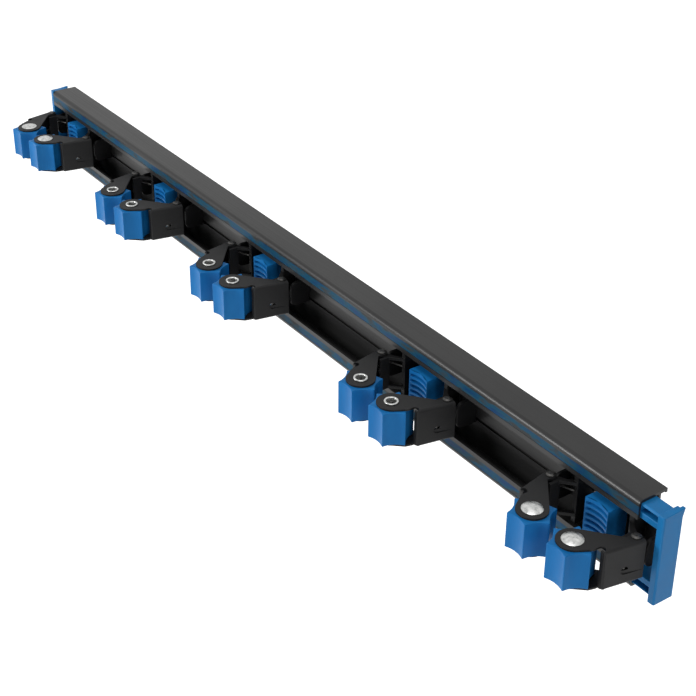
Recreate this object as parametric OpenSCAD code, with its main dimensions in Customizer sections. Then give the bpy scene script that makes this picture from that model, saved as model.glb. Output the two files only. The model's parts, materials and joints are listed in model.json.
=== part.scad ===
// Clamp rack: a wall rail with five spring-loaded holders for tool handles.
// X runs along the rail, Y into the wall, Z up. The origin is on the wall, at the middle
// of the rail's lower edge. All lengths are in millimetres.

/* [Rail] */
// Length of the rail
rail_l = 900; // [720:10:1200]
// Height of the rail
rail_h = 73; // [71:0.5:80]
// Depth from the wall to the front of the lips
rail_d = 26.5; // [25.5:0.25:27]
// Thickness of the rail's walls
rail_wall = 2.2; // [1.8:0.1:2.5]
// Height of each lip
lip_h = 15.2; // [13.5:0.1:15.8]
// Free depth between the wall and the back of the web
web_gap = 5.9; // [4.5:0.1:6.2]
// Outer radius of the front corners
corner_r = 4; // [2.8:0.1:5]
// Height of the coloured stripes
stripe_h = 6.5; // [5:0.25:9]
// Diameter of the holes for the wall screws
screw_d = 5; // [4:0.25:5.5]

/* [End caps] */
// Thickness of the outer plate
cap_t = 5.7; // [4.5:0.1:6.5]
// Depth of the outer plate
cap_d = 17.9; // [17:0.1:18.2]
// Length of the plugs that sit behind the lips
plug_l = 20.5; // [18:0.5:22.5]
// How far the right cap stands out of the rail
cap_out = 17.3; // [16.5:0.1:19]

/* [Holders] */
// Radius of a roller over its ridges
roller_r = 18; // [16:0.25:18.5]
// Radius at the bottom of a roller's flutes
flute_bottom_r = 13.4; // [12.5:0.1:14.2]
// Height of a roller
roller_h = 29; // [26:0.5:30]
// Gap between the two closed rollers
roller_gap = 4; // [3:0.25:6]
// Distance from the wall to the roller axes
reach = 71; // [69:0.5:74]
// Thickness of the arms' sheet
sheet_t = 1.5; // [1.2:0.05:1.7]
// Half the width over the arms at their front folds
arm_half_w = 43; // [42.5:0.1:45]
// Distance from the wall to the front of the arms' side walls
fold_y = 61; // [60:0.25:62]
// Angle at which the arms' side walls spread towards the rail
splay = 11; // [9:0.5:12]
// Distance from the wall to the pivot pins
pin_y = 34.5; // [34:0.1:36]
// Width of the pad
pad_w = 22.8; // [20:0.2:23.4]
// Distance from the wall to the front corners of the pad
pad_front = 30.3; // [28:0.1:32]

/* [Hidden] */
$fn = 64;
// Overrun of every cut past the face it opens
over = 1;
// Clearance of a sliding piece in the rail
slide_gap = 0.3;
// Clearance beside a stripe in its groove
stripe_gap = 0.15;

// Rail section
web_t = rail_wall;
web_front = web_gap + web_t;
lip_back = rail_d - rail_wall;
mid_z = rail_h / 2;
inner_r = corner_r - rail_wall;
bead_h = 3.2;
bead_d = 1.6;
groove_w = 2.6;
groove_share = 0.6;
groove_d = groove_share * web_t;
groove_off = 8.5;
stripe_t = 0.55;
stripe_groove_d = 0.7;
stripe_edge = 4.6;
screw_count = 3;

// End caps
plug_t = 14;
plug_play = 0.3;
plug_set = 0.8;
plug_h = lip_h - plug_set - rail_wall - plug_play;
plug_skin = 2;
plug_front = lip_back - plug_play;
plug_slot_h = 5;
plug_slot_d = 9;
plug_slot_z = rail_wall + plug_play + plug_skin;
cap_proud = 0.1;
cap_front = rail_d + cap_proud;
cap_edge_r = 1.5;
cap_ear = 0.9;
cap_ear_w = 8;
cap_ear_h = 6;
cap_flare = 1.8;
cap_left_out = 0;

// Sliding carriage of a holder
slab_t = 3;
slab_back = web_front + slide_gap;
slab_front = slab_back + slab_t;
carriage_front = lip_back - slide_gap;
bar_x = 29;
bar_w = 4;
tongue_w = pad_w;
hook_h = 10;
// Cut on the edges that slide past the fillets inside the lips
fillet_cut = 1.2;
window_x = 12;
window_w = 13;
window_rim = 6;
window_h = rail_h - 2 * (lip_h + slide_gap + window_rim);
peg_w = 12;
peg_h = 18;
peg_d = 4.8;
peg_gap = 0.15;

// Arms, pins and lugs
side_play = 0.25;
arm_h = roller_h + 2 * side_play + 2 * sheet_t;
roller_x = roller_r + roller_gap / 2;
tip_r = 11.7;
bend_r = 2.2;
wall_past_pin = 3;
wall_back = pin_y - wall_past_pin;
wall_back_x = arm_half_w + (fold_y - wall_back) * tan(splay);
lobe_r = 4.4;
lobe_front_shares = [-0.75, -1.35];
lobe_back_a = 165;
neck_w = 7;
neck_low_w = 4.6;
flange_w = 4.3;
flange_inset = 1;
plate_inner_angle = 128;
plate_outer_angle = -32;
slit_r = 3.1;
slit_back = 15;
slit_drop = 4.5;
dent_d = 0.9;
dent_rear = (fold_y - wall_back) / cos(splay);
pin_r = 2;
pin_fit = 0.05;
pin_head_r = 3.5;
pin_head_h = 1.3;
lug_play = 0.2;
lug_t = 2.5;
boss_r = 4.2;
boss_gap = 0.34;
ear_t = 2.5;
ear_gap = 0.8;
ear_front = 41;
ear_back = 31.8;
lug_front_a = 205;
lug_side_a = 60;
lug_back_a = 110;
lug_out = 4.5;
cheek_t = 2.5;
cheek_h = 23;
cheek_r = 6;
cheek_front = 27.4;
// A pin stands off its arm's wall by a boss and a gap
pin_inset = sheet_t + boss_gap + boss_r;
pin_x = arm_half_w + (fold_y - pin_y) * tan(splay) - pin_inset / cos(splay);
pin_at = [pin_x, -pin_y];
ear_x = pin_x - boss_r - ear_gap + lug_play / 2;
// Outer face of the cheeks, in line with the bosses
cheek_x = pin_x + boss_r + lug_play;
fold_at = [arm_half_w, -fold_y];
roller_at = [roller_x, -reach];

// Rivets
shank_r = 5;
tube_r = 4.05;
rim_r = 5.8;
rim_h = 1;
dome_r = 7.8;
dome_h = 2.3;
dome_rim = 0.5;
roller_fit = 0.06;
hole_fit = 0.05;

// Rollers and pads
ridges = 6;
ridge_turn = 2;
ridge_r = roller_r - 0.35;
// Distance of a flute's arc centre, so that its arcs meet on the ridges
flute_c = (pow(roller_r, 2) - pow(flute_bottom_r, 2))
    / (2 * (roller_r * cos(180 / ridges) - flute_bottom_r));
flute_r = flute_c - flute_bottom_r;
pad_hollow = 2.7;
pad_arc_r = (pow(pad_w / 2, 2) + pow(pad_hollow, 2)) / (2 * pad_hollow);
pad_ribs = 6;
rib_pitch = roller_h / pad_ribs;
rib_gap = 2.1;
rib_d = 3;
pad_side = 1.1;
pad_edge_r = 1;

// Springs
wire_d = 1.4;
coil_r = boss_r - wire_d / 2 - 0.5 * lug_play;
coil_pitch = 2;
coil_turns = 5;
ring_steps = 8;
wire_sides = 6;
leg_gap = 0.3;

// Places of the holders as shares of the free travel, from the left end to the right one,
// where a holder's arm may stand past the rail's end by park_past
park_past = 14;
travel = rail_l / 2 - (arm_half_w - park_past);
place_shares = [-0.9454, -0.4822, -0.0392, 0.5119, 0.9881];
holder_n = len(place_shares);
place = travel * place_shares;
domed = [true, false, false, false, true];
// The screw holes lie behind windows of the first and last carriages, the middle one between,
// and these are their distances from the middles of the two holders
screw_near = 14.8;
screw_far = 22.2;
screw_from = place[0] + screw_near;
screw_to = place[holder_n - 1] - screw_far;

// A point at a distance and an angle from another
function polar(p, r, a) = p + r * [cos(a), sin(a)];

// Lays a section drawn in the YZ plane along X, from a start over a length
module along_x(start, length) {
    translate([start, 0, 0]) rotate([90, 0, 90]) linear_extrude(length) children();
}

// Stands a plan between two heights
module between(low, high) {
    translate([0, 0, low]) linear_extrude(high - low) children();
}

// A section in the YZ plane whose lower front corner is cut off, to clear the rail's fillet
module cut_corner(front, back, low, high) {
    polygon([[-front, low + fillet_cut], [-front + fillet_cut, low], [-back, low],
        [-back, high], [-front, high]]);
}

// A box from its lowest corner to its highest
module block(low, high) {
    translate(low) cube(high - low);
}

// Half of the rail's section, below mid height
module rail_half_section() {
    difference() {
        union() {
            translate([-rail_d + corner_r, 0]) square([rail_d - corner_r, rail_wall]);
            translate([-rail_d, corner_r]) square([rail_wall, lip_h - corner_r]);
            intersection() {
                translate([-rail_d + corner_r, corner_r]) difference() {
                    circle(corner_r);
                    circle(inner_r);
                }
                translate([-rail_d, 0]) square(corner_r);
            }
            translate([-web_front, 0]) square([web_t, mid_z]);
            translate([-bead_d, 0]) square([bead_d, bead_h]);
        }
        translate([-rail_d - over, stripe_edge - stripe_gap])
            square([over + stripe_groove_d, stripe_h + 2 * stripe_gap]);
        translate([-web_front - over, mid_z - groove_off - groove_w / 2])
            square([over + groove_d, groove_w]);
    }
}

module rail() {
    color("#26282a") difference() {
        along_x(-rail_l / 2, rail_l) {
            rail_half_section();
            translate([0, rail_h]) mirror([0, 1]) rail_half_section();
        }
        for (i = [0:screw_count - 1])
            translate([screw_from + i * (screw_to - screw_from) / (screw_count - 1), 0, mid_z])
                rotate([90, 0, 0]) cylinder(r = screw_d / 2, h = web_front + over);
    }
}

// A stripe pressed into the groove of the lower lip, just short of flush
module stripe() {
    color("#1d5688") along_x(-rail_l / 2, rail_l)
        translate([-rail_d + stripe_groove_d - stripe_t, stripe_edge])
            square([stripe_t, stripe_h]);
}

module lower_stripe() {
    stripe();
}

module upper_stripe() {
    translate([0, 0, rail_h]) mirror([0, 0, 1]) stripe();
}

// Plan of a cap's plate: X outwards from the rail's end
module cap_plan() {
    difference() {
        translate([0, -cap_front]) square([cap_t, cap_d]);
        translate([cap_t, -cap_front]) difference() {
            square(2 * cap_edge_r, center = true);
            translate([-cap_edge_r, cap_edge_r]) circle(cap_edge_r);
        }
    }
}

// Lower plug of a cap, with the slot in its front
module plug() {
    difference() {
        along_x(-plug_l, plug_l) cut_corner(plug_front, plug_front - plug_t,
            rail_wall + plug_play, rail_wall + plug_play + plug_h);
        block([-plug_l + plug_skin, -plug_front - over, plug_slot_z],
            [-plug_skin / 2, -plug_front + plug_slot_d, plug_slot_z + plug_slot_h]);
    }
}

// Half of a right cap, below mid height, with its plate's inner face at X = 0
module cap_half() {
    between(0, mid_z) cap_plan();
    plug();
}

// A right cap with its plate's inner face at X = 0, and with an ear on the plate's upper
// rear corner
module cap() {
    color("#216fb3") {
        cap_half();
        translate([0, 0, rail_h]) mirror([0, 0, 1]) cap_half();
        translate([cap_t / 2, -cap_front + cap_d, rail_h]) rotate([0, 90, 0])
            linear_extrude(cap_t / 2)
            polygon([[0, -cap_ear_w], [-cap_ear, cap_flare], [cap_ear_h, 0]]);
    }
}

module end_cap_right() {
    translate([rail_l / 2 + cap_out, 0, 0]) cap();
}

module end_cap_left() {
    translate([-rail_l / 2 - cap_left_out, 0, 0]) mirror([1, 0, 0]) cap();
}

// Moves a piece to its holder's middle
module at_holder(i) {
    translate([place[i - 1], 0, 0]) children();
}

// Plan of the ear that joins the two lugs beside the spring
module ear_plan() {
    translate([ear_x - ear_t, -ear_front]) square([ear_t, ear_front - ear_back]);
}

// Plan of a lug that reaches from a side bar to the pivot pin
module lug_plan() {
    difference() {
        union() {
            translate(pin_at) circle(boss_r);
            polygon([
                [bar_x - bar_w, -slab_front], [bar_x - bar_w, -carriage_front],
                polar(pin_at, boss_r, lug_front_a), pin_at,
                polar(pin_at, boss_r, lug_side_a), polar(pin_at, boss_r, lug_back_a),
                [bar_x + lug_out, -cap_front - slide_gap],
                [bar_x, -carriage_front + bar_w / 4], [bar_x, -slab_front]]);
            ear_plan();
        }
        translate(pin_at) circle(pin_r + pin_fit);
    }
}

// Section of a cheek in the YZ plane, from the slab to its rounded front corners
module cheek_section() {
    low = mid_z - cheek_h / 2;
    translate([-cheek_front + cheek_r, low])
        square([cheek_front - cheek_r - slab_back, cheek_h]);
    translate([-cheek_front, low + cheek_r]) square([cheek_r, cheek_h - 2 * cheek_r]);
    for (z = [low + cheek_r, low + cheek_h - cheek_r])
        translate([-cheek_front + cheek_r, z]) circle(cheek_r);
}

// Right half of a carriage
module carriage_half() {
    low = lip_h + slide_gap;
    high = rail_h - low;
    lug_top = mid_z + arm_h / 2 - sheet_t - lug_play;
    lug_low = rail_h - lug_top;
    difference() {
        block([0, -slab_front, low], [bar_x, -slab_back, high]);
        block([window_x, -slab_front - over, mid_z - window_h / 2],
            [window_x + window_w, -slab_back + over, mid_z + window_h / 2]);
    }
    block([bar_x - bar_w, -carriage_front, low], [bar_x, -slab_back, high]);
    for (z = [lug_top - lug_t, lug_low]) between(z, z + lug_t) lug_plan();
    between(lug_low, lug_top) ear_plan();
    block([bar_x - bar_w, -slab_front, mid_z - cheek_h / 2],
        [cheek_x, -slab_back, mid_z + cheek_h / 2]);
    along_x(cheek_x - cheek_t, cheek_t) cheek_section();
    block([0, -slab_front, rail_wall + slide_gap],
        [tongue_w / 2, -slab_back, rail_h - rail_wall - slide_gap]);
    for (m = [0, 1]) translate([0, 0, m * rail_h]) mirror([0, 0, m])
        along_x(0, tongue_w / 2) cut_corner(carriage_front, slab_back,
            rail_wall + slide_gap, rail_wall + slide_gap + hook_h);
    block([0, -slab_front - peg_d, mid_z - peg_h / 2], [peg_w / 2, -slab_front, mid_z + peg_h / 2]);
}

module carriage(i) {
    at_holder(i) color("#141516") {
        carriage_half();
        mirror([1, 0, 0]) carriage_half();
    }
}

// Plan of a pad: rounded front corners and a hollow front
module pad_plan() {
    half = pad_w / 2;
    difference() {
        union() {
            translate([-half, -pad_front + pad_edge_r])
                square([pad_w, pad_front - pad_edge_r - slab_front]);
            translate([-half + pad_edge_r, -pad_front]) square([pad_w - 2 * pad_edge_r, pad_edge_r]);
            for (s = [-1, 1]) translate([s * (half - pad_edge_r), -pad_front + pad_edge_r])
                circle(pad_edge_r);
        }
        translate([0, -pad_front + pad_hollow - pad_arc_r]) circle(pad_arc_r, $fn = 160);
    }
}

module pad(i) {
    low = mid_z - roller_h / 2;
    at_holder(i) color("#2471b5") difference() {
        between(low, low + roller_h) pad_plan();
        for (k = [1:pad_ribs - 1]) intersection() {
            translate([0, -pad_front + pad_hollow - pad_arc_r, low + k * rib_pitch - rib_gap / 2])
                cylinder(r = pad_arc_r + rib_d, h = rib_gap, $fn = 160);
            block([-pad_w / 2 + pad_side, -pad_front - over, low],
                [pad_w / 2 - pad_side, -slab_front - over, low + roller_h]);
        }
        block([-peg_w / 2 - peg_gap, -slab_front - peg_d - peg_gap, mid_z - peg_h / 2 - peg_gap],
            [peg_w / 2 + peg_gap, -slab_front + over, mid_z + peg_h / 2 + peg_gap]);
    }
}

// Plan of an arm's plate, for a given width of the relief beside the fold
module arm_plan(relief_w) {
    neck_x = arm_half_w - relief_w;
    slot_r = (relief_w - sheet_t) / 2;
    difference() {
        union() {
            translate(roller_at) circle(tip_r);
            translate(pin_at) circle(lobe_r);
            polygon([
                polar(roller_at, tip_r, plate_inner_angle), pin_at + lobe_r * lobe_front_shares,
                polar(pin_at, lobe_r, lobe_back_a), pin_at, [pin_x, -wall_back],
                [wall_back_x, -wall_back], fold_at,
                [arm_half_w, -fold_y - slot_r / 2], [neck_x, -fold_y - slot_r / 2],
                [neck_x, -fold_y - 2 * slot_r], [neck_x - sheet_t, -reach + sheet_t],
                polar(roller_at, tip_r, plate_outer_angle)]);
        }
        translate([neck_x + slot_r, -fold_y - slot_r / 2]) circle(slot_r);
        translate([neck_x, -fold_y - slot_r]) square([relief_w + over, slot_r / 2]);
        translate(roller_at) circle(shank_r + hole_fit);
        translate(pin_at) circle(pin_r + pin_fit);
    }
}

// Section of an arm's folded channel, open towards the holder's middle
module channel_section() {
    w = 2 * arm_half_w;
    difference() {
        union() {
            translate([-w, -arm_h / 2]) square([w - bend_r, arm_h]);
            translate([-w, bend_r - arm_h / 2]) square([w, arm_h - 2 * bend_r]);
            for (s = [-1, 1]) translate([-bend_r, s * (arm_h / 2 - bend_r)]) circle(bend_r);
        }
        translate([-w - over, sheet_t - arm_h / 2])
            square([w + over - sheet_t, arm_h - 2 * sheet_t]);
    }
}

// Right arm: one sheet folded to a channel, cut to its two plates and its side wall
module arm_shape() {
    difference() {
        intersection() {
            translate([arm_half_w, -fold_y, mid_z]) rotate([0, 0, -splay])
                translate([0, 2 * reach, 0]) rotate([90, 0, 0])
                linear_extrude(4 * reach) channel_section();
            union() {
                between(mid_z - arm_h / 2 - over, mid_z) arm_plan(neck_low_w);
                between(mid_z, mid_z + arm_h / 2 + over) arm_plan(neck_w);
            }
        }
        translate([arm_half_w, -fold_y, mid_z - slit_drop]) rotate([0, 0, -splay])
            translate([-sheet_t - over, slit_back, 0]) rotate([0, 90, 0]) difference() {
                cylinder(r = slit_r, h = sheet_t + 2 * over);
                translate([0, -slit_r - over, -over])
                    cube([2 * slit_r, 2 * slit_r + 2 * over, sheet_t + 4 * over]);
            }
        translate([arm_half_w, -fold_y, mid_z - slit_drop]) rotate([0, 0, -splay]) dent();
    }
    between(mid_z - arm_h / 2 + flange_inset, mid_z + arm_h / 2 - flange_inset) flange_plan();
}

// The tongue pressed into the side wall behind the slit, deepest at its round front end
module dent() {
    intersection() {
        translate([0, 0, -slit_r]) linear_extrude(2 * slit_r) polygon([
            [over, slit_back - slit_r], [-dent_d, slit_back - slit_r],
            [0, dent_rear], [over, dent_rear]]);
        union() {
            translate([-sheet_t, slit_back, 0]) rotate([0, 90, 0])
                cylinder(r = slit_r, h = sheet_t + over);
            block([-sheet_t, slit_back, -slit_r], [over, dent_rear, slit_r]);
        }
    }
}

// Plan of the flange that turns inwards at the front of the side wall
module flange_plan() {
    intersection() {
        translate([arm_half_w, -fold_y]) rotate([0, 0, -splay])
            translate([-bend_r, 0]) difference() {
                circle(bend_r);
                circle(bend_r - sheet_t);
            }
        translate([arm_half_w - bend_r, -fold_y - bend_r - over])
            square([bend_r + over, bend_r + over + sheet_t * sin(splay)]);
    }
    translate([arm_half_w - flange_w, -fold_y - bend_r])
        square([flange_w - bend_r + bend_r * sin(splay) / 2, sheet_t]);
}

module arm_right(i) {
    at_holder(i) color("#2b2c2d") arm_shape();
}

module arm_left(i) {
    at_holder(i) mirror([1, 0, 0]) color("#2b2c2d") arm_shape();
}

// The two pivot pins of a holder, headed above and below
module pivot_pins(i) {
    half = arm_h / 2 + lug_play;
    at_holder(i) color("#3a3b3c") for (s = [-1, 1]) translate([s * pin_x, -pin_y, mid_z]) {
        translate([0, 0, -half]) cylinder(r = pin_r, h = 2 * half);
        for (m = [0, 1]) mirror([0, 0, m]) translate([0, 0, half]) {
            cylinder(r = pin_head_r, h = pin_head_h / 2);
            translate([0, 0, pin_head_h / 2])
                cylinder(r1 = pin_head_r, r2 = pin_r, h = pin_head_h / 2);
        }
    }
}

// Roller with its axis at the origin
module roller_shape() {
    color("#2471b5") between(mid_z - roller_h / 2, mid_z + roller_h / 2) difference() {
        circle(ridge_r);
        for (k = [0:ridges - 1]) rotate(ridge_turn + (k + 0.5) * 360 / ridges)
            translate([flute_c, 0]) circle(flute_r, $fn = 160);
        circle(shank_r + roller_fit);
    }
}

module roller_right(i) {
    at_holder(i) translate([roller_x, -reach, 0]) roller_shape();
}

module roller_left(i) {
    at_holder(i) translate([-roller_x, -reach, 0]) roller_shape();
}

// Half section of an open tube rivet, from its axis outwards
module rivet_half_section() {
    half = arm_h / 2;
    difference() {
        union() {
            translate([0, -half]) square([shank_r, 2 * half]);
            for (s = [-1, 1]) translate([rim_r - rim_h, s * (half + rim_h / 2) - rim_h / 2]) {
                square([rim_h / 2, rim_h]);
                translate([rim_h / 2, rim_h / 2]) circle(rim_h / 2);
            }
            for (s = [-1, 1]) translate([tube_r, s * (half + rim_h / 2) - rim_h / 2])
                square([rim_r - rim_h - tube_r, rim_h]);
        }
        translate([-over, -half - rim_h - over]) square([tube_r + over, 2 * (half + rim_h + over)]);
    }
}

// Rivet with its axis at the origin, open or closed by a domed head
module rivet_shape(has_dome) {
    color("#c9ccce") translate([0, 0, mid_z]) {
        rotate_extrude() rivet_half_section();
        if (has_dome) translate([0, 0, arm_h / 2]) rotate_extrude() dome_half_section();
    }
}

// Half section of a domed head with a flat underside
module dome_half_section() {
    ball_r = (pow(dome_r, 2) + pow(dome_h - dome_rim, 2)) / (2 * (dome_h - dome_rim));
    square([dome_r, dome_rim]);
    intersection() {
        translate([0, dome_h - ball_r]) circle(ball_r, $fn = 200);
        translate([0, dome_rim]) square([dome_r, dome_h]);
    }
}

module rivet_right(i) {
    at_holder(i) translate([roller_x, -reach, 0]) rivet_shape(domed[i - 1]);
}

module rivet_left(i) {
    at_holder(i) translate([-roller_x, -reach, 0]) rivet_shape(domed[i - 1]);
}

// Route of a right spring's wire round its pin: a leg along the arm's wall, the coil,
// and a leg to the carriage's side bar
function spring_route() =
    let (
        wall_a = 90 - splay,
        along = [cos(wall_a), sin(wall_a)],
        leg = (pin_at - fold_at) * along - slit_back,
        low = mid_z - slit_drop + slit_r / 3,
        from_a = wall_a - 90,
        foot = [bar_x - bar_w / 2, -carriage_front - leg_gap - wire_d / 2],
        to_foot = foot - pin_at,
        to_a = atan2(to_foot.y, to_foot.x) - acos(coil_r / norm(to_foot)),
        sweep = 360 * coil_turns + to_a - from_a,
        steps = ceil(sweep / 360 * ring_steps),
        hook = polar(pin_at, coil_r, from_a) - leg * along)
    concat(
        [[each polar(hook, wire_d, from_a), low], [each hook, low + wire_d / 4]],
        [for (k = [0:steps])
            [each polar(pin_at, coil_r, from_a + k * sweep / steps),
                low + wire_d / 4 + k * sweep / steps / 360 * coil_pitch]],
        [[each foot, low + wire_d / 4 + sweep / 360 * coil_pitch]]);

// Tube along a route: one unbroken skin with closed ends
module tube(route, r, sides) {
    n = len(route);
    dir = [for (k = [0:n - 1])
        let (d = route[min(k + 1, n - 1)] - route[max(k - 1, 0)]) d / norm(d)];
    points = [for (k = [0:n - 1])
        let (
            side = cross(dir[k], [0, 0, 1]),
            u = side / norm(side),
            v = cross(dir[k], u))
        for (j = [0:sides - 1]) route[k] + r * (cos(360 * j / sides) * u + sin(360 * j / sides) * v)];
    skin = [for (k = [0:n - 2], j = [0:sides - 1])
        let (a = k * sides + j, b = k * sides + (j + 1) % sides)
        each [[a, b, b + sides], [a, b + sides, a + sides]]];
    ends = [for (j = [1:sides - 2])
        each [[0, j + 1, j], [(n - 1) * sides, (n - 1) * sides + j, (n - 1) * sides + j + 1]]];
    polyhedron(points, concat(skin, ends));
}

// Least gap between stretches of the wire that lie at least half a turn apart
function least_gap(route) =
    min([for (a = [0:len(route) - 1], b = [a + ring_steps / 2:1:len(route) - 1])
        norm(route[b] - route[a])]) - wire_d;
echo(least_gap_of_the_spring_to_itself = least_gap(spring_route()));

module spring_right(i) {
    at_holder(i) color("#55585a") tube(spring_route(), wire_d / 2, wire_sides);
}

module spring_left(i) {
    at_holder(i) mirror([1, 0, 0]) color("#55585a") tube(spring_route(), wire_d / 2, wire_sides);
}

rail();
upper_stripe();
lower_stripe();
end_cap_left();
end_cap_right();
for (i = [1:holder_n]) {
    carriage(i);
    pad(i);
    pivot_pins(i);
    arm_left(i);
    arm_right(i);
    roller_left(i);
    roller_right(i);
    rivet_left(i);
    rivet_right(i);
    spring_left(i);
    spring_right(i);
}
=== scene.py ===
import json
import math

import bpy
import numpy as np
from mathutils import Matrix, Vector


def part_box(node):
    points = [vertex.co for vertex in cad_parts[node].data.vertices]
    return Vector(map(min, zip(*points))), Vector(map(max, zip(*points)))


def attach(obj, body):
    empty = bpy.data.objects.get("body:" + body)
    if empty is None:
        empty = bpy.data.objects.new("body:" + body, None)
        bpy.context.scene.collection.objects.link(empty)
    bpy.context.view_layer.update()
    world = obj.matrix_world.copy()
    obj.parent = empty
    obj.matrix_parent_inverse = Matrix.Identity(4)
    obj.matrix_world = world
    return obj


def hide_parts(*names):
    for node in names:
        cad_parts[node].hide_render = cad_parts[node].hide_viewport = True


# %% [markdown]
# # A wall rail with five sliding tool clamps
# The real rack is a black anodised aluminium rail. Five clamps slide in it, and each one holds
# a tool's handle between two fluted blue rollers that springs press together. The exact
# solids come from the CAD frame. This lesson gives them their finishes, and makes again, as
# smooth surfaces, the pieces whose roundings catch the light.

# %% Load the frame and note its box
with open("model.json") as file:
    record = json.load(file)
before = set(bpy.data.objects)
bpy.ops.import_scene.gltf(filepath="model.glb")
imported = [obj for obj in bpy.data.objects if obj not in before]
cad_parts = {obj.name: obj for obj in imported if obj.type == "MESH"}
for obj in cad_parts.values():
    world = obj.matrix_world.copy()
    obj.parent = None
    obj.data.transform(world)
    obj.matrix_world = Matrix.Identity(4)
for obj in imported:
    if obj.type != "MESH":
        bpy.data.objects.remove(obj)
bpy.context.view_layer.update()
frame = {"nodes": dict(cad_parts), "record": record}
scene = bpy.context.scene
scene.view_settings.view_transform = "Standard"
MM = 0.001
HOLDERS = range(1, 6)
SIDES = ("left", "right")
# In millimetres: the height of the rail's middle, and how far the rollers' axes stand out
MID_Z = 36.5
REACH = 71

# %% [markdown]
# ## Camera
# The camera was found from the rail's straight edges and the rivets in the photograph. It
# looks down along the rail from its near end. A small vertical shift brings the uprights a
# little nearer to upright, as a product photographer does with a shift lens.

# %% Camera
CAMERA_AT = np.array([980.84, -638.71, 663.72]) * MM
YAW, PITCH, ROLL = 0.95554, 0.49507, 0.00713
LENS = 76.206
SHIFT_UP = -0.1


def camera_axes(yaw, pitch, roll):
    """Right, up and back directions: turned about Z by yaw, tipped down by pitch, then rolled."""
    right = np.array([math.cos(yaw), math.sin(yaw), 0])
    forward = np.array([-math.sin(yaw) * math.cos(pitch), math.cos(yaw) * math.cos(pitch),
                        -math.sin(pitch)])
    up = np.cross(right, forward)
    return (math.cos(roll) * right + math.sin(roll) * up,
            math.cos(roll) * up - math.sin(roll) * right, -forward)


camera_data = bpy.data.cameras.new("studio_camera")
camera_data.lens = LENS
camera_data.sensor_width = 36
camera_data.shift_y = SHIFT_UP
camera_data.clip_end = 50
camera = bpy.data.objects.new("studio_camera", camera_data)
camera_turn = np.eye(4)
camera_turn[:3, :3] = np.array(camera_axes(YAW, PITCH, ROLL)).T
camera_turn[:3, 3] = CAMERA_AT
camera.matrix_world = Matrix(camera_turn.tolist())
scene.collection.objects.link(camera)
scene.camera = camera
print("the camera stands", round(float(np.linalg.norm(CAMERA_AT)), 3), "m from the origin")

# %% [markdown]
# ## Materials
# A finish is more than a colour: anodised aluminium has fine lines from the press, moulded
# plastic has a faint grain, and zinc is mottled. Every material here starts as a Principled
# shader, and noise on Object coordinates changes its colour, roughness and bump.

# %% Small helpers that add nodes
def fill(material, socket, value):
    """Links a node's input to another node's output, or sets its number or colour."""
    if isinstance(value, bpy.types.NodeSocket):
        material.node_tree.links.new(value, socket)
    else:
        socket.default_value = value


def add_node(material, kind, settings=None, **inputs):
    """Adds a node, sets its properties, and fills or links the named inputs."""
    node = material.node_tree.nodes.new(kind)
    for key, value in (settings or {}).items():
        setattr(node, key, value)
    for key, value in inputs.items():
        fill(material, node.inputs[key.replace("_", " ")], value)
    return node


def worked_out(material, operation, *values):
    """Result of a Math node on numbers or outputs, in the order of its inputs."""
    node = add_node(material, "ShaderNodeMath", {"operation": operation})
    for socket, value in zip(node.inputs, values):
        fill(material, socket, value)
    return node.outputs[0]


def object_noise(material, scale, stretch=(1, 1, 1), detail=3.0):
    """Noise on Object coordinates. A small stretch number draws the pattern out along that axis."""
    place = add_node(material, "ShaderNodeTexCoord")
    squeeze = add_node(material, "ShaderNodeMapping", Vector=place.outputs["Object"], Scale=stretch)
    noise = add_node(material, "ShaderNodeTexNoise", Vector=squeeze.outputs["Vector"],
                     Scale=scale, Detail=detail)
    return noise.outputs["Fac"]


def ramp(material, factor, stops):
    """Colour ramp through stops of (place, linear colour)."""
    node = add_node(material, "ShaderNodeValToRGB", Fac=factor)
    elements = node.color_ramp.elements
    for element, (place, colour) in zip(elements, stops):
        element.position, element.color = place, (*colour, 1)
    for place, colour in stops[2:]:
        elements.new(place).color = (*colour, 1)
    return node.outputs["Color"]


def spread(material, factor, low, high):
    """Carries a factor of about 0.3 to 0.7 over to the range from low to high."""
    node = add_node(material, "ShaderNodeMapRange", Value=factor)
    for key, value in (("From Min", 0.3), ("From Max", 0.7), ("To Min", low), ("To Max", high)):
        node.inputs[key].default_value = value
    return node.outputs["Result"]


def bump(material, height, strength, distance):
    """Bump from a height, with its depth in metres."""
    return add_node(material, "ShaderNodeBump", Height=height, Strength=strength,
                    Distance=distance).outputs["Normal"]


def shader(name):
    """A new material and its Principled shader."""
    material = bpy.data.materials.new(name)
    material.use_nodes = True
    return material, material.node_tree.nodes["Principled BSDF"]


def link(material, source, shader_node, socket):
    material.node_tree.links.new(source, shader_node.inputs[socket])


# %% Finishes
# Where shade is painted in the web's two grooves, in millimetres: their height off the rail's
# middle and half their width, then the Y of their depth's middle and half that depth
GROOVE_OFF, GROOVE_HALF = 8.5, 1.35
GROOVE_Y, GROOVE_HALF_DEPTH = -7.3, 0.75


def painted_shade_in_grooves(material):
    """1 in the web's two grooves, where shade is painted, and 0 on the rest of the rail."""
    place = add_node(material, "ShaderNodeTexCoord")
    at = add_node(material, "ShaderNodeSeparateXYZ", Vector=place.outputs["Object"])
    above_middle = worked_out(material, "SUBTRACT", at.outputs["Z"], MID_Z * MM)
    off_middle = worked_out(material, "ABSOLUTE", above_middle)
    at_height = worked_out(material, "COMPARE", off_middle, GROOVE_OFF * MM, GROOVE_HALF * MM)
    at_depth = worked_out(material, "COMPARE", at.outputs["Y"], GROOVE_Y * MM,
                          GROOVE_HALF_DEPTH * MM)
    return worked_out(material, "MULTIPLY", at_height, at_depth)


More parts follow.
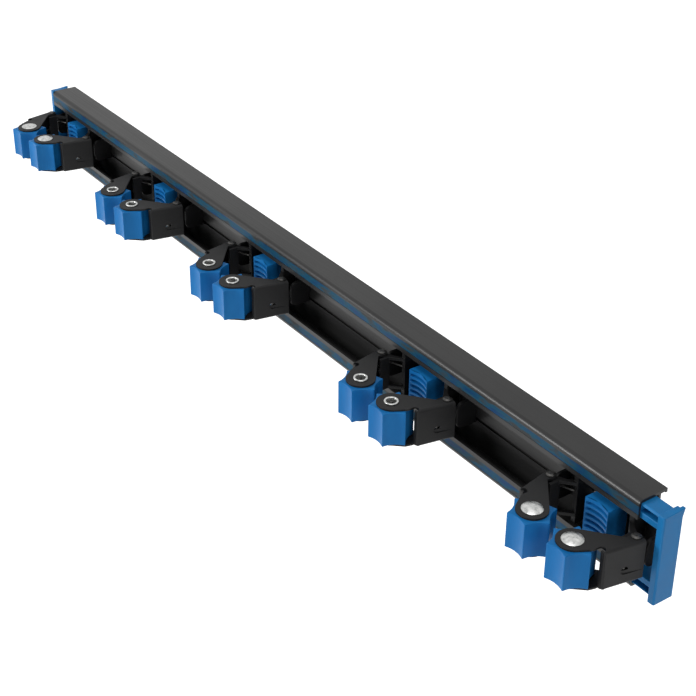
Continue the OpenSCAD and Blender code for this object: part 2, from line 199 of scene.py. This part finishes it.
def anodised_aluminium():
    """Black oxide over pressed aluminium: dark, partly metallic, with fine lines along the rail.

    The web's two grooves are painted near black, as painted shade.
    """
    material, face = shader("black_anodised_aluminium")
    lines = object_noise(material, 900, stretch=(0.004, 1, 1), detail=4.0)
    patches = object_noise(material, 14, stretch=(0.6, 1, 1))
    oxide = ramp(material, patches, [(0.3, (0.017, 0.017, 0.0172)), (0.7, (0.028, 0.028, 0.0278))])
    # Painted shade: the web's two grooves are coloured near black
    # For colours, a Mix node's inputs are 0 (the share), 6 and 7, and its output is 2
    painted_groove_shade = add_node(material, "ShaderNodeMix", {"data_type": "RGBA"})
    fill(material, painted_groove_shade.inputs[0], painted_shade_in_grooves(material))
    fill(material, painted_groove_shade.inputs[6], oxide)
    fill(material, painted_groove_shade.inputs[7], (0.002, 0.002, 0.002, 1))
    link(material, painted_groove_shade.outputs[2], face, "Base Color")
    link(material, spread(material, lines, 0.30, 0.42), face, "Roughness")
    link(material, bump(material, lines, 0.25, 0.00006), face, "Normal")
    face.inputs["Metallic"].default_value = 0.3
    face.inputs["Specular IOR Level"].default_value = 0.34
    return material


def striped_plastic():
    """The blue strips in the lips: duller than the rollers, scuffed in streaks along the rail."""
    material, face = shader("blue_strip_plastic")
    scuffs = object_noise(material, 150, stretch=(0.35, 1, 1), detail=4.0)
    link(material, ramp(material, scuffs, [(0.36, (0.003, 0.038, 0.115)),
                                           (0.50, (0.006, 0.060, 0.105)),
                                           (0.64, (0.036, 0.039, 0.040))]), face, "Base Color")
    link(material, spread(material, scuffs, 0.42, 0.6), face, "Roughness")
    link(material, bump(material, scuffs, 0.2, 0.00008), face, "Normal")
    face.inputs["Specular IOR Level"].default_value = 0.12
    return material


def cap_plastic():
    """Semi-matt blue moulding of the end caps, with a fine sparked grain."""
    material, face = shader("blue_cap_plastic")
    grain = object_noise(material, 2600, detail=2.0)
    clouds = object_noise(material, 45)
    link(material, ramp(material, clouds, [(0.3, (0.006, 0.155, 0.400)),
                                           (0.7, (0.010, 0.185, 0.460))]), face, "Base Color")
    link(material, spread(material, clouds, 0.38, 0.47), face, "Roughness")
    link(material, bump(material, grain, 0.12, 0.00005), face, "Normal")
    face.inputs["Specular IOR Level"].default_value = 0.22
    return material


def blue_rubber():
    """Blue rubber of the rollers and pads: satin, a little powdery, with faint flow marks."""
    material, face = shader("blue_rubber")
    grain = object_noise(material, 1800, detail=3.0)
    clouds = object_noise(material, 70, stretch=(1, 1, 0.35), detail=4.0)
    link(material, ramp(material, clouds, [(0.3, (0.006, 0.138, 0.395)),
                                           (0.7, (0.012, 0.172, 0.460))]), face, "Base Color")
    link(material, spread(material, clouds, 0.36, 0.48), face, "Roughness")
    link(material, bump(material, grain, 0.16, 0.00006), face, "Normal")
    face.inputs["Specular IOR Level"].default_value = 0.15
    return material


def coated_steel():
    """Black coating on sheet steel: satin, with a faint orange peel and rubbed patches."""
    material, face = shader("black_coated_steel")
    peel = object_noise(material, 900, detail=2.0)
    rubs = object_noise(material, 90, detail=5.0)
    link(material, ramp(material, rubs, [(0.35, (0.006, 0.006, 0.0064)),
                                         (0.7, (0.0105, 0.0105, 0.0108))]), face, "Base Color")
    link(material, spread(material, rubs, 0.46, 0.58), face, "Roughness")
    link(material, bump(material, peel, 0.12, 0.00008), face, "Normal")
    face.inputs["Specular IOR Level"].default_value = 0.22
    return material


def black_moulding():
    """Matt black moulded plastic of the carriages."""
    material, face = shader("black_moulding")
    grain = object_noise(material, 2200, detail=2.0)
    clouds = object_noise(material, 60)
    link(material, ramp(material, clouds, [(0.3, (0.0035, 0.0035, 0.0038)),
                                           (0.7, (0.0065, 0.0065, 0.0070))]), face, "Base Color")
    link(material, spread(material, clouds, 0.5, 0.62), face, "Roughness")
    link(material, bump(material, grain, 0.2, 0.00006), face, "Normal")
    face.inputs["Specular IOR Level"].default_value = 0.18
    return material


def zinc():
    """Bright zinc on the rivets: metal with pale mottles and small hammer marks."""
    material, face = shader("bright_zinc")
    mottles = object_noise(material, 330, detail=1.5)
    dents = object_noise(material, 240, detail=0.5)
    link(material, ramp(material, mottles, [(0.32, (0.42, 0.43, 0.42)),
                                            (0.68, (0.66, 0.66, 0.65))]), face, "Base Color")
    link(material, spread(material, mottles, 0.24, 0.42), face, "Roughness")
    link(material, bump(material, dents, 0.3, 0.0002), face, "Normal")
    face.inputs["Metallic"].default_value = 0.9
    return material


def blackened_steel():
    """Oiled black steel of the pins and springs."""
    material, face = shader("blackened_steel")
    oxide = object_noise(material, 700, detail=4.0)
    link(material, ramp(material, oxide, [(0.3, (0.040, 0.039, 0.038)),
                                          (0.7, (0.095, 0.092, 0.088))]), face, "Base Color")
    link(material, spread(material, oxide, 0.3, 0.46), face, "Roughness")
    link(material, bump(material, oxide, 0.15, 0.00005), face, "Normal")
    face.inputs["Metallic"].default_value = 0.8
    return material


FINISHES = {
    "black_anodised": anodised_aluminium(), "blue_strip": striped_plastic(),
    "blue_cap": cap_plastic(), "blue_rubber": blue_rubber(), "black_steel": coated_steel(),
    "black_moulding": black_moulding(), "zinc_steel": zinc(), "dark_steel": blackened_steel()}


def slot_of(node_name):
    """The material slot that the record gives a CAD node."""
    return next(part["material_slot"] for part in frame["record"]["subparts"]
                if part["node"] == node_name)


def body_of(node_name):
    """The moving body that a CAD node belongs to in the record."""
    return next(body for body, nodes in frame["record"]["behaviour"]["bodies"].items()
                if node_name in nodes)


for node_name, node_object in frame["nodes"].items():
    node_object.data.materials.clear()
    node_object.data.materials.append(FINISHES[slot_of(node_name)])
print(len(frame["nodes"]), "CAD nodes have their finishes")

# %% [markdown]
# ## Surfaces on a grid
# A new piece is a grid of points, worked out as whole arrays. Two index arrays join the grid
# to quads. Every row is a closed ring, so its last point is joined to its first.

# %% From a grid of points to a finished piece
def grid_quads(rows, columns):
    """Quads between neighbouring points of a grid that is open down its rows and closed across."""
    row, column = np.meshgrid(np.arange(rows - 1), np.arange(columns), indexing="ij")
    beside = (column + 1) % columns
    corners = [row * columns + column, row * columns + beside,
               (row + 1) * columns + beside, (row + 1) * columns + column]
    return np.stack(corners, axis=-1).reshape(-1, 4)


def finished(name, points, quads, node_name, smooth_below=40):
    """Makes a mesh of the points and quads, which replaces a CAD node and rides on its body."""
    mesh = bpy.data.meshes.new(name)
    mesh.from_pydata((points * MM).tolist(), [], quads.tolist())
    mesh.validate()
    mesh.update()
    piece = bpy.data.objects.new(name, mesh)
    scene.collection.objects.link(piece)
    mesh.polygons.foreach_set("use_smooth", np.ones(len(mesh.polygons), dtype=bool))
    mesh.set_sharp_from_angle(angle=math.radians(smooth_below))
    slot_name = slot_of(node_name)
    mesh.materials.append(FINISHES[slot_name])
    body = body_of(node_name)
    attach(piece, body)
    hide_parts(node_name)


def middle_of(node_name):
    """The middle of a CAD node's box, in millimetres."""
    low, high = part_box(node_name)
    return np.array((low + high) / 2) / MM


# %% [markdown]
# ## Rollers
# A real roller is moulded rubber with six ridges. Between two ridges runs a hollow flute. Its
# outline is one closed curve, and the piece is that curve carried up a small profile with
# rounded rims. The flutes are circular arcs. They would meet in knife edges, so a smooth
# minimum blunts the ridges by half a millimetre.

# %% Rollers
RIDGES = 6
RIDGE_TURN = math.radians(2)
RIDGE_R, FLUTE_R, BORE_R = 18.0, 13.4, 5.06
BLUNTED, BLUNT_SHARPNESS = 0.5, 6
ROLLER_H = 29
RIM_R, BORE_RIM = 0.55, 0.3
ARC_STEPS = 28


def fluted_radius(angle):
    """Radius of the outline: the near crossing of the ray with a flute's circle, blunted."""
    half = math.pi / RIDGES
    offset = (angle - RIDGE_TURN) % (2 * half) - half
    centre = (RIDGE_R**2 - FLUTE_R**2) / (2 * (RIDGE_R * math.cos(half) - FLUTE_R))
    arc = centre - FLUTE_R
    hollow = centre * np.cos(offset) - np.sqrt(arc**2 - (centre * np.sin(offset))**2)
    blunt = RIDGE_R - BLUNTED
    return -np.logaddexp(-hollow * BLUNT_SHARPNESS, -blunt * BLUNT_SHARPNESS) / BLUNT_SHARPNESS


def roller_points(at):
    """Rings of the outline, drawn in by the rim's rounding and then in to the bore."""
    angle = np.linspace(0, 2 * math.pi, RIDGES * ARC_STEPS, endpoint=False)
    outline = fluted_radius(angle)
    quarter = np.linspace(0, math.pi / 2, 6)
    half = ROLLER_H / 2
    side_in = np.concatenate([RIM_R * (1 - np.cos(quarter))[::-1], RIM_R * (1 - np.cos(quarter))])
    side_z = np.concatenate([-half + RIM_R * (1 - np.sin(quarter))[::-1],
                             half - RIM_R * (1 - np.sin(quarter))])
    rings = [outline - inset for inset in side_in]
    heights = list(side_z)
    bore = np.full_like(angle, BORE_R)
    shoulder = BORE_R + (outline - RIM_R - BORE_R) * 0.5
    rings = [bore, bore + BORE_RIM, shoulder, *rings, shoulder, bore + BORE_RIM, bore, bore]
    heights = [-half + BORE_RIM, -half, -half, *heights, half, half, half - BORE_RIM,
               -half + BORE_RIM]
    radius = np.array(rings)
    z = np.repeat(np.array(heights)[:, None], len(angle), axis=1)
    points = np.stack([radius * np.cos(angle), radius * np.sin(angle), z], axis=-1)
    return points.reshape(-1, 3) + at, radius.shape


for holder in HOLDERS:
    for side in SIDES:
        node_name = f"roller_{side}_{holder}"
        points, (rows, columns) = roller_points(middle_of(node_name))
        finished(f"rubber_{node_name}", points, grid_quads(rows, columns), node_name)
print("each roller has", rows, "rings of", columns, "points")

# %% [markdown]
# ## Pads
# The pad behind the rollers has a hollow front with five grooves, so that a handle doesn't
# slip down. Its plan is one closed line. Going up, the front part of that line steps back in
# each groove, and a smooth step rounds the ribs' edges.

# %% Pads
PAD_HALF, PAD_FRONT, PAD_BACK = 11.4, -30.3, -11.4
PAD_HOLLOW, PAD_CORNER = 2.7, 1.0
# Only the part in front of this Y is drawn in at the top and bottom
PAD_SHOULDER = -20
RIBS, RIB_DEPTH, RIB_GAP = 6, 3.0, 2.1
# Shares of the front's half width between which a groove runs out
GROOVE_ENDS = (0.86, 0.95)
INNER_RING = 0.93


def smooth_step(value, low, high):
    """Rises from 0 at low to 1 at high without a corner."""
    share = np.clip((value - low) / (high - low), 0, 1)
    return share * share * (3 - 2 * share)


def pad_points(at_x):
    """The plan's line, stepped back in the grooves, at many heights."""
    across = np.linspace(-1, 1, 41)
    arc_r = (PAD_HALF**2 + PAD_HOLLOW**2) / (2 * PAD_HOLLOW)
    front_x = across * (PAD_HALF - PAD_CORNER * 0.5)
    front_y = PAD_FRONT + PAD_HOLLOW - arc_r + np.sqrt(arc_r**2 - front_x**2)
    turn = np.linspace(0, math.pi / 2, 5)[1:]
    right_x = PAD_HALF - PAD_CORNER * (1 - np.sin(turn)) * 0.5
    right_y = PAD_FRONT + PAD_CORNER * (1 - np.cos(turn))
    line_x = np.concatenate([front_x, right_x, [PAD_HALF, PAD_HALF, 0, -PAD_HALF, -PAD_HALF],
                             -right_x[::-1]])
    line_y = np.concatenate([front_y, right_y, [PAD_SHOULDER, PAD_BACK, PAD_BACK, PAD_BACK,
                                                PAD_SHOULDER], right_y[::-1]])
    grooved = np.zeros_like(line_x)
    grooved[:len(across)] = 1 - smooth_step(np.abs(across), *GROOVE_ENDS)
    half = ROLLER_H / 2
    pitch = ROLLER_H / RIBS
    edge = 0.45
    levels = [-half, -half + edge * 0.3, -half + edge]
    for groove in range(1, RIBS):
        middle = -half + groove * pitch
        levels += [middle + off for off in (-RIB_GAP / 2 - edge, -RIB_GAP / 2 - edge / 2,
                                            -RIB_GAP / 2, -RIB_GAP / 2 + edge / 2, 0,
                                            RIB_GAP / 2 - edge / 2, RIB_GAP / 2,
                                            RIB_GAP / 2 + edge / 2, RIB_GAP / 2 + edge)]
    levels += [half - edge, half - edge * 0.3, half]
    z = np.array(levels)
    off_groove = np.abs((z + half + pitch / 2) % pitch - pitch / 2)
    between_ends = (z > -half + pitch / 2) & (z < half - pitch / 2)
    depth = RIB_DEPTH * (1 - smooth_step(off_groove, RIB_GAP / 2 - edge / 2, RIB_GAP / 2 + edge))
    depth = np.where(between_ends, depth, 0)
    # The two outermost levels at each end are drawn in, so the pad's rims are rounded too
    inset = np.where(np.abs(z) > half - edge * 0.2, edge * 0.7,
                     np.where(np.abs(z) > half - edge * 0.8, edge * 0.2, 0))
    x = line_x[None, :] * (1 - inset[:, None] / PAD_HALF)
    y = line_y[None, :] + depth[:, None] * grooved[None, :]
    y = np.where(line_y[None, :] < PAD_SHOULDER, y + inset[:, None], y)
    points = np.stack([x + at_x, y, np.repeat(z[:, None] + MID_Z, len(line_x), axis=1)], axis=-1)
    # An end is closed by a ring just inside its rim, which keeps the shading flat, and a point
    middles = np.repeat(points.mean(axis=1, keepdims=True)[[0, -1]], len(line_x), axis=1)
    inner = middles + (points[[0, -1]] - middles) * INNER_RING
    points = np.concatenate([middles[:1], inner[:1], points, inner[1:], middles[1:]])
    return points.reshape(-1, 3), points.shape[:2]


for holder in HOLDERS:
    node_name = f"pad_{holder}"
    points, (rows, columns) = pad_points(middle_of(node_name)[0])
    finished(f"rubber_{node_name}", points, grid_quads(rows, columns), node_name)
print("each pad has", rows, "levels of", columns, "points")

# %% [markdown]
# ## Rivets
# A roller turns on a rivet of zinc-plated tube, flared at both ends. On the first and last
# clamps the upper end has a domed head. A rivet is a turned piece: a profile of radius
# against height, carried once round its axis.

# %% Rivets
SHANK_R, TUBE_R, FLARE_R, FLARE_H = 5.0, 4.05, 5.8, 1.0
THROAT_WIDER, THROAT_DEEP = 0.45, 0.75
ARM_H = 32.5
DOME_R, DOME_H, DOME_RIM_H, DOME_LOWERED = 7.8, 2.3, 0.5, 0.12
DOMED_HOLDERS = (1, 5)
TURN_STEPS = 64
# Radius of a ring so small that it closes a piece
POINT_R = 0.01


def turned_points(profile, at):
    """Carries a profile of (radius, height) round the upright axis through a point."""
    angle = np.linspace(0, 2 * math.pi, TURN_STEPS, endpoint=False)
    radius, height = np.array(profile).T
    points = np.stack([radius[:, None] * np.cos(angle), radius[:, None] * np.sin(angle),
                       np.repeat(height[:, None], TURN_STEPS, axis=1)], axis=-1)
    return points.reshape(-1, 3) + at, (len(profile), TURN_STEPS)


def flare(sign):
    """Profile of a rolled rim: from the shank out and round to the tube's mouth."""
    turn = np.linspace(-0.5, 0.5, 9) * math.pi
    round_r = FLARE_H / 2
    rim = [(FLARE_R - round_r + round_r * math.cos(a),
            sign * (ARM_H / 2 + round_r + round_r * math.sin(a))) for a in turn]
    throat = [(TUBE_R + THROAT_WIDER * (1 - math.sin(a)),
               sign * (ARM_H / 2 + FLARE_H - THROAT_DEEP * (1 - math.cos(a))))
              for a in np.linspace(0, math.pi / 2, 6)]
    return rim + throat


def dome_profile():
    """A shallow ball over a small straight rim, from the rim to the crown."""
    rise = DOME_H - DOME_RIM_H
    ball_r = (DOME_R**2 + rise**2) / (2 * rise)
    radius = np.linspace(DOME_R - 0.25, POINT_R, 18)
    height = DOME_H - ball_r + np.sqrt(ball_r**2 - radius**2) - DOME_LOWERED
    rim = [(DOME_R - 0.3, 0.0), (DOME_R - 0.05, 0.12), (DOME_R, 0.35)]
    return rim + list(zip(radius.tolist(), np.maximum(height, DOME_RIM_H).tolist()))


for holder in HOLDERS:
    for side in SIDES:
        node_name = f"rivet_{side}_{holder}"
        low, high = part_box(node_name)
        at = np.array([(low.x + high.x) / 2 / MM, -REACH, MID_Z])
        lower_rim = flare(-1)[::-1]
        if holder in DOMED_HOLDERS:
            top = [(r, ARM_H / 2 + h) for r, h in dome_profile()]
            profile = [(TUBE_R, 0)] + lower_rim + [(SHANK_R, ARM_H / 2)] + top
        else:
            profile = lower_rim + flare(1) + lower_rim[:1]
        points, (rows, columns) = turned_points(profile, at)
        finished(f"zinc_{node_name}", points, grid_quads(rows, columns), node_name, 50)
print("a rivet's profile has", rows, "points")

# %% [markdown]
# ## Springs
# A torsion spring closes each arm. One leg lies along the arm's wall, the wire winds five
# times round the pivot, and the other leg bears on the carriage. The wire is a circle
# carried along the route, and each ring stands square to it.

# %% Springs
WIRE_R = 0.7
PIN_Y, FOLD_Y, HALF_W, SPLAY = -34.5, -61, 43, math.radians(11)
PIN_HEAD_R, BOSS_R, BOSS_PLAY = 3.5, 4.2, 0.1
COIL_R = BOSS_R - WIRE_R - BOSS_PLAY
COIL_TURNS, COIL_PITCH, STEPS_ROUND = 5, 2.0, 24
# The slit in the arm's wall places the first leg, and the carriage's side bar the second
SLIT_BACK, SLIT_DROP, SLIT_R = 15, 4.5, 3.1
BAR_SIDE, CARRIAGE_FRONT, LEG_GAP = 27, -24.0, 0.3
WIRE_SIDES = 12
# Share of the wire's radius at its blunt ends
WIRE_END = 0.75


def spring_route(pin_x):
    """Points of a right spring's wire about a pin at pin_x: leg, coil and leg."""
    along = np.array([math.sin(SPLAY), math.cos(SPLAY)])
    pin = np.array([pin_x, PIN_Y])
    leg = (pin - np.array([HALF_W, FOLD_Y])) @ along - SLIT_BACK
    low = MID_Z - SLIT_DROP + SLIT_R / 3
    start = -SPLAY
    foot = np.array([BAR_SIDE, CARRIAGE_FRONT - LEG_GAP - WIRE_R])
    to_foot = foot - pin
    end = math.atan2(to_foot[1], to_foot[0]) - math.acos(COIL_R / np.linalg.norm(to_foot))
    sweep = 2 * math.pi * COIL_TURNS + end - start
    count = int(sweep / (2 * math.pi) * STEPS_ROUND)
    turn = np.linspace(0, sweep, count + 1)
    coil = np.stack([pin[0] + COIL_R * np.cos(start + turn), pin[1] + COIL_R * np.sin(start + turn),
                     low + WIRE_R / 2 + turn / (2 * math.pi) * COIL_PITCH], axis=-1)
    out = np.array([math.cos(start), math.sin(start)])
    hook = pin + COIL_R * out - leg * along
    rear = [[*(hook + 2 * WIRE_R * out), low], [*(hook + 0.6 * WIRE_R * out), low + 0.1],
            [*(hook + 0.5 * along), low + WIRE_R / 2 - 0.1]]
    front = [[*(foot + 0.35 * (coil[-1, :2] - foot)), coil[-1, 2] + 0.1],
             [*foot, coil[-1, 2] + 0.1]]
    return np.concatenate([rear, coil, front])


def carried_wire(route):
    """A circle carried along a route. Its frame is level: one arm of it stays in the XY plane."""
    ahead = np.gradient(route, axis=0)
    ahead /= np.linalg.norm(ahead, axis=1, keepdims=True)
    level = np.cross(ahead, [0, 0, 1.0])
    level /= np.linalg.norm(level, axis=1, keepdims=True)
    upright = np.cross(level, ahead)
    angle = np.linspace(0, 2 * math.pi, WIRE_SIDES, endpoint=False)
    ring = (np.cos(angle)[None, :, None] * level[:, None] + np.sin(angle)[None, :, None]
            * upright[:, None])
    sizes = np.full(len(route) + 4, WIRE_R)
    sizes[[0, -1]], sizes[[1, -2]] = POINT_R, WIRE_END * WIRE_R
    path = np.concatenate([route[:1], route[:1], route, route[-1:], route[-1:]])
    rings = np.concatenate([ring[:1], ring[:1], ring, ring[-1:], ring[-1:]])
    points = path[:, None] + sizes[:, None, None] * rings
    return points.reshape(-1, 3), points.shape[:2]


for holder in HOLDERS:
    centre_x = middle_of(f"pad_{holder}")[0]
    pins_low, pins_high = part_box(f"pivot_pins_{holder}")
    pin_x = (pins_high.x - pins_low.x) / 2 / MM - PIN_HEAD_R
    for side, sign in (("left", -1), ("right", 1)):
        node_name = f"spring_{side}_{holder}"
        route = spring_route(pin_x) * [sign, 1, 1] + [centre_x, 0, 0]
        points, (rows, columns) = carried_wire(route)
        finished(f"wire_{node_name}", points, grid_quads(rows, columns)[:, ::-1], node_name)
print("a spring's wire is", round(float(np.linalg.norm(np.diff(route, axis=0), axis=1).sum()), 1),
      "mm long")

# %% [markdown]
# ## Softened edges
# Folded steel and moulded plastic never have knife edges. The arms, carriages and caps keep
# the exact CAD shape: a copy of each is joined at its seams, and a Bevel modifier rounds its
# edges by a few tenths of a millimetre, which draws the fine highlights. Normals weighted by
# area then keep the flat faces flat.

# %% Softened copies of the exact solids
# In millimetres
CAP_ROUND, ARM_ROUND, CARRIAGE_ROUND = 0.45, 0.22, 0.3
# In metres
SEAM = 0.000002
# Degrees up to which faces are made one, and from which an edge is rounded and is sharp
ONE_FACE, ROUNDED_FROM, SHARP_FROM = 0.5, 38, 42
FACE_WEIGHT = 90


def softened(node_name, width, title):
    """A copy of a CAD node with joined points, flat faces made whole, and rounded edges."""
    piece = frame["nodes"][node_name].copy()
    piece.data = piece.data.copy()
    piece.name = f"{title}_{node_name}"
    for key in [key for key in piece.keys() if key.startswith("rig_")]:
        del piece[key]
    scene.collection.objects.link(piece)
    piece.parent = None
    bpy.ops.object.select_all(action="DESELECT")
    bpy.context.view_layer.objects.active = piece
    piece.select_set(True)
    bpy.ops.object.mode_set(mode="EDIT")
    bpy.ops.mesh.select_all(action="SELECT")
    bpy.ops.mesh.remove_doubles(threshold=SEAM)
    bpy.ops.mesh.dissolve_limited(angle_limit=math.radians(ONE_FACE))
    bpy.ops.mesh.normals_make_consistent(inside=False)
    bpy.ops.object.mode_set(mode="OBJECT")
    rounding = piece.modifiers.new("rounded_edges", "BEVEL")
    rounding.width = width * MM
    rounding.segments = 2
    rounding.limit_method = "ANGLE"
    rounding.angle_limit = math.radians(ROUNDED_FROM)
    rounding.use_clamp_overlap = True
    rounding.harden_normals = True
    piece.data.polygons.foreach_set("use_smooth", np.ones(len(piece.data.polygons), dtype=bool))
    piece.data.set_sharp_from_angle(angle=math.radians(SHARP_FROM))
    flat = piece.modifiers.new("flat_faces", "WEIGHTED_NORMAL")
    flat.keep_sharp = True
    flat.weight = FACE_WEIGHT
    body = body_of(node_name)
    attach(piece, body)
    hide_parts(node_name)


for side in SIDES:
    softened(f"end_cap_{side}", CAP_ROUND, "moulded")
for holder in HOLDERS:
    for side in SIDES:
        softened(f"arm_{side}_{holder}", ARM_ROUND, "folded")
    softened(f"carriage_{holder}", CARRIAGE_ROUND, "moulded")
print("softened copies are made")

# %% [markdown]
# ## Studio
# The photograph has a pure white ground and soft light from all sides. The floor is a pale
# plane, and what the camera sees of it and of the world is white. A large soft lamp stands
# in front of the rack, one is above it, and a weaker one fills from the right.

# %% Floor and world
# In metres
FLOOR_Z, FLOOR_HALF = -0.28, 14.0
# Strengths: the floor's own light, the world's light, and the world where it is seen
FLOOR_GLOW, ROOM_LIGHT, ROOM_SEEN = 0.75, 0.2, 1.0


def seen_directly(tree):
    """1 for rays from the camera, a gloss or a glass, and 0 for the rays that carry light."""
    path = tree.nodes.new("ShaderNodeLightPath")
    seen = path.outputs["Is Camera Ray"]
    for name in ("Is Glossy Ray", "Is Transmission Ray"):
        either = tree.nodes.new("ShaderNodeMath")
        either.operation = "MAXIMUM"
        tree.links.new(seen, either.inputs[0])
        tree.links.new(path.outputs[name], either.inputs[1])
        seen = either.outputs[0]
    return seen


def pale_floor():
    """Pale ground: plain diffuse, made white for the camera and in reflections."""
    material = bpy.data.materials.new("pale_floor")
    material.use_nodes = True
    material.node_tree.nodes.clear()
    glow = worked_out(material, "MULTIPLY", seen_directly(material.node_tree), FLOOR_GLOW)
    matt = add_node(material, "ShaderNodeBsdfDiffuse", Color=(0.86, 0.86, 0.86, 1))
    light = add_node(material, "ShaderNodeEmission", Color=(1, 1, 1, 1), Strength=glow)
    both = add_node(material, "ShaderNodeAddShader")
    fill(material, both.inputs[0], matt.outputs[0])
    fill(material, both.inputs[1], light.outputs[0])
    add_node(material, "ShaderNodeOutputMaterial", Surface=both.outputs[0])
    return material


floor_mesh = bpy.data.meshes.new("floor")
unit_square = np.array([[-1, -1, 0], [1, -1, 0], [1, 1, 0], [-1, 1, 0]])
corners = unit_square * FLOOR_HALF + [0, 0, FLOOR_Z]
floor_mesh.from_pydata(corners.tolist(), [], [(0, 1, 2, 3)])
floor_mesh.materials.append(pale_floor())
floor = bpy.data.objects.new("floor", floor_mesh)
scene.collection.objects.link(floor)

world = bpy.data.worlds.new("soft_room")
scene.world = world
world.use_nodes = True
room = world.node_tree
room.nodes.clear()
level = room.nodes.new("ShaderNodeMapRange")
level.inputs["To Min"].default_value = ROOM_LIGHT
level.inputs["To Max"].default_value = ROOM_SEEN
room.links.new(seen_directly(room), level.inputs["Value"])
background = room.nodes.new("ShaderNodeBackground")
background.inputs["Color"].default_value = (1, 1, 1, 1)
room.links.new(level.outputs["Result"], background.inputs["Strength"])
out = room.nodes.new("ShaderNodeOutputWorld")
room.links.new(background.outputs[0], out.inputs["Surface"])

# %% Lamps
def soft_lamp(name, at, towards, size, watts):
    """A square lamp that faces a point."""
    lamp = bpy.data.lights.new(name, "AREA")
    lamp.size, lamp.energy = size, watts
    holder = bpy.data.objects.new(name, lamp)
    holder.location = at
    holder.rotation_euler = (Vector(towards) - Vector(at)).to_track_quat("-Z", "Y").to_euler()
    scene.collection.objects.link(holder)


soft_lamp("front_lamp", (-1.2, -2.2, 1.1), (0, 0, 0), 1.0, 50)
soft_lamp("top_lamp", (0.5, -0.5, 2.4), (0, 0, 0), 1.2, 18)
soft_lamp("right_lamp", (2.6, -0.8, 0.5), (0.3, 0, 0), 1.0, 14)
